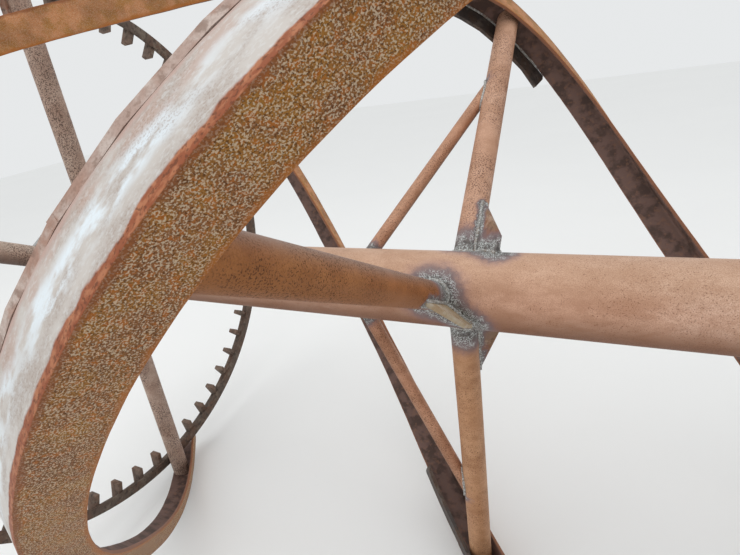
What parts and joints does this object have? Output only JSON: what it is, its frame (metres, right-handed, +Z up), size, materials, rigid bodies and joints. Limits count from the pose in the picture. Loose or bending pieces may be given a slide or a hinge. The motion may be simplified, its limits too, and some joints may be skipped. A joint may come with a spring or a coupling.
{
  "type": "feed mixer reel",
  "caption": "Open mixing reel of a feeder wagon: a central tube with pipe spokes, helical angle bars, a cleated hoop at each end and flanged bearings on stub shafts.",
  "frame": {"origin": "centre of the mounting face of the drive end's bearing flange, on the reel's axis", "axes": "+X along the reel's axis from the drive end to the idle end, +Y to the far side, +Z up"},
  "size_m": [2.8067, 1.7106, 1.7609],
  "materials": {
    "tube_pipe": "light brown rust with heat tint at the welds",
    "spoke_pipe": "pitted brown rust, burnished in places",
    "bar_steel": "mottled orange and brown rust, outer face worn bright",
    "hub_plate": "dull worn steel with brown edges",
    "hoop_steel": "dusty grey-brown rust",
    "shaft_steel": "turned, oiled steel",
    "bearing_iron": "rough grey casting"
  },
  "bodies": {
    "bearings": {"drive_bearing_housing": "bearing_iron", "idle_bearing_housing": "bearing_iron"},
    "reel": {"main_tube": "tube_pipe", "middle_spoke_far": "spoke_pipe", "gusset_far": "bar_steel", "brace_far": "spoke_pipe", "bar_drive_far": "bar_steel", "bar_idle_far": "bar_steel", "splice_far": "bar_steel", "middle_spoke_near": "spoke_pipe", "gusset_near": "bar_steel", "brace_near": "spoke_pipe", "bar_drive_near": "bar_steel", "bar_idle_near": "bar_steel", "splice_near": "bar_steel", "middle_spoke_low": "spoke_pipe", "gusset_low": "bar_steel", "brace_low": "spoke_pipe", "bar_drive_low": "bar_steel", "bar_idle_low": "bar_steel", "splice_low": "bar_steel", "drive_spoke_far": "spoke_pipe", "drive_ring_arm_far": "spoke_pipe", "drive_spoke_near": "spoke_pipe", "drive_ring_arm_near": "spoke_pipe", "drive_spoke_low": "spoke_pipe", "drive_ring_arm_low": "spoke_pipe", "drive_hub_plate": "hub_plate", "drive_hoop": "hoop_steel", "drive_arm_ears": "hoop_steel", "drive_stub_shaft": "shaft_steel", "drive_bearing_collar": "shaft_steel", "idle_spoke_far": "spoke_pipe", "idle_ring_arm_far": "spoke_pipe", "idle_spoke_near": "spoke_pipe", "idle_ring_arm_near": "spoke_pipe", "idle_spoke_low": "spoke_pipe", "idle_ring_arm_low": "spoke_pipe", "idle_hub_plate": "hub_plate", "idle_hoop": "hoop_steel", "idle_arm_ears": "hoop_steel", "idle_stub_shaft": "shaft_steel", "idle_bearing_collar": "shaft_steel"}
  },
  "joints": [
    {"name": "reel_spin", "type": "hinge", "parent": "bearings", "child": "reel", "pos_m": [0, 0, 0], "axis": [1, 0, 0], "continuous": true}
  ]
}
